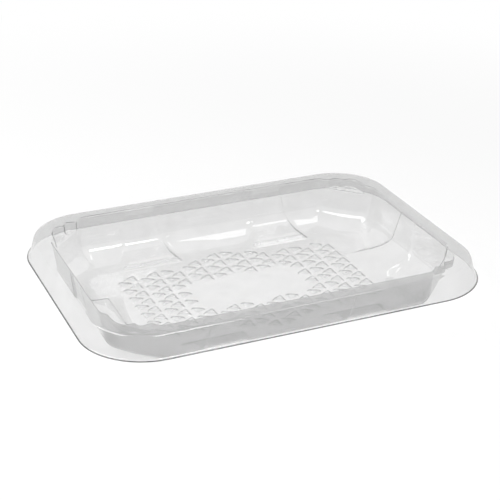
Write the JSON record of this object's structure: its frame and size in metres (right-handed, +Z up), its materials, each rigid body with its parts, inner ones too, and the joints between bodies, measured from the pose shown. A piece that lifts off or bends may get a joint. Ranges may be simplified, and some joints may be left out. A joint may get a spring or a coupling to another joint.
{
  "type": "plastic food tray",
  "caption": "Shallow clear food tray with a flat rim and skirt, ribbed side walls, scalloped corners and a raised floor pattern.",
  "frame": {"origin": "middle of the floor's underside, which the tray stands on", "axes": "+X along the long sides, +Y along the short ends, +Z up out of the well"},
  "size_m": [0.2308, 0.167, 0.0284],
  "materials": {
    "clear_plastic": "clear thermoformed PET sheet, glossy on both faces, faintly grey"
  },
  "bodies": {
    "root": {"tray": "clear_plastic"}
  },
  "joints": []
}
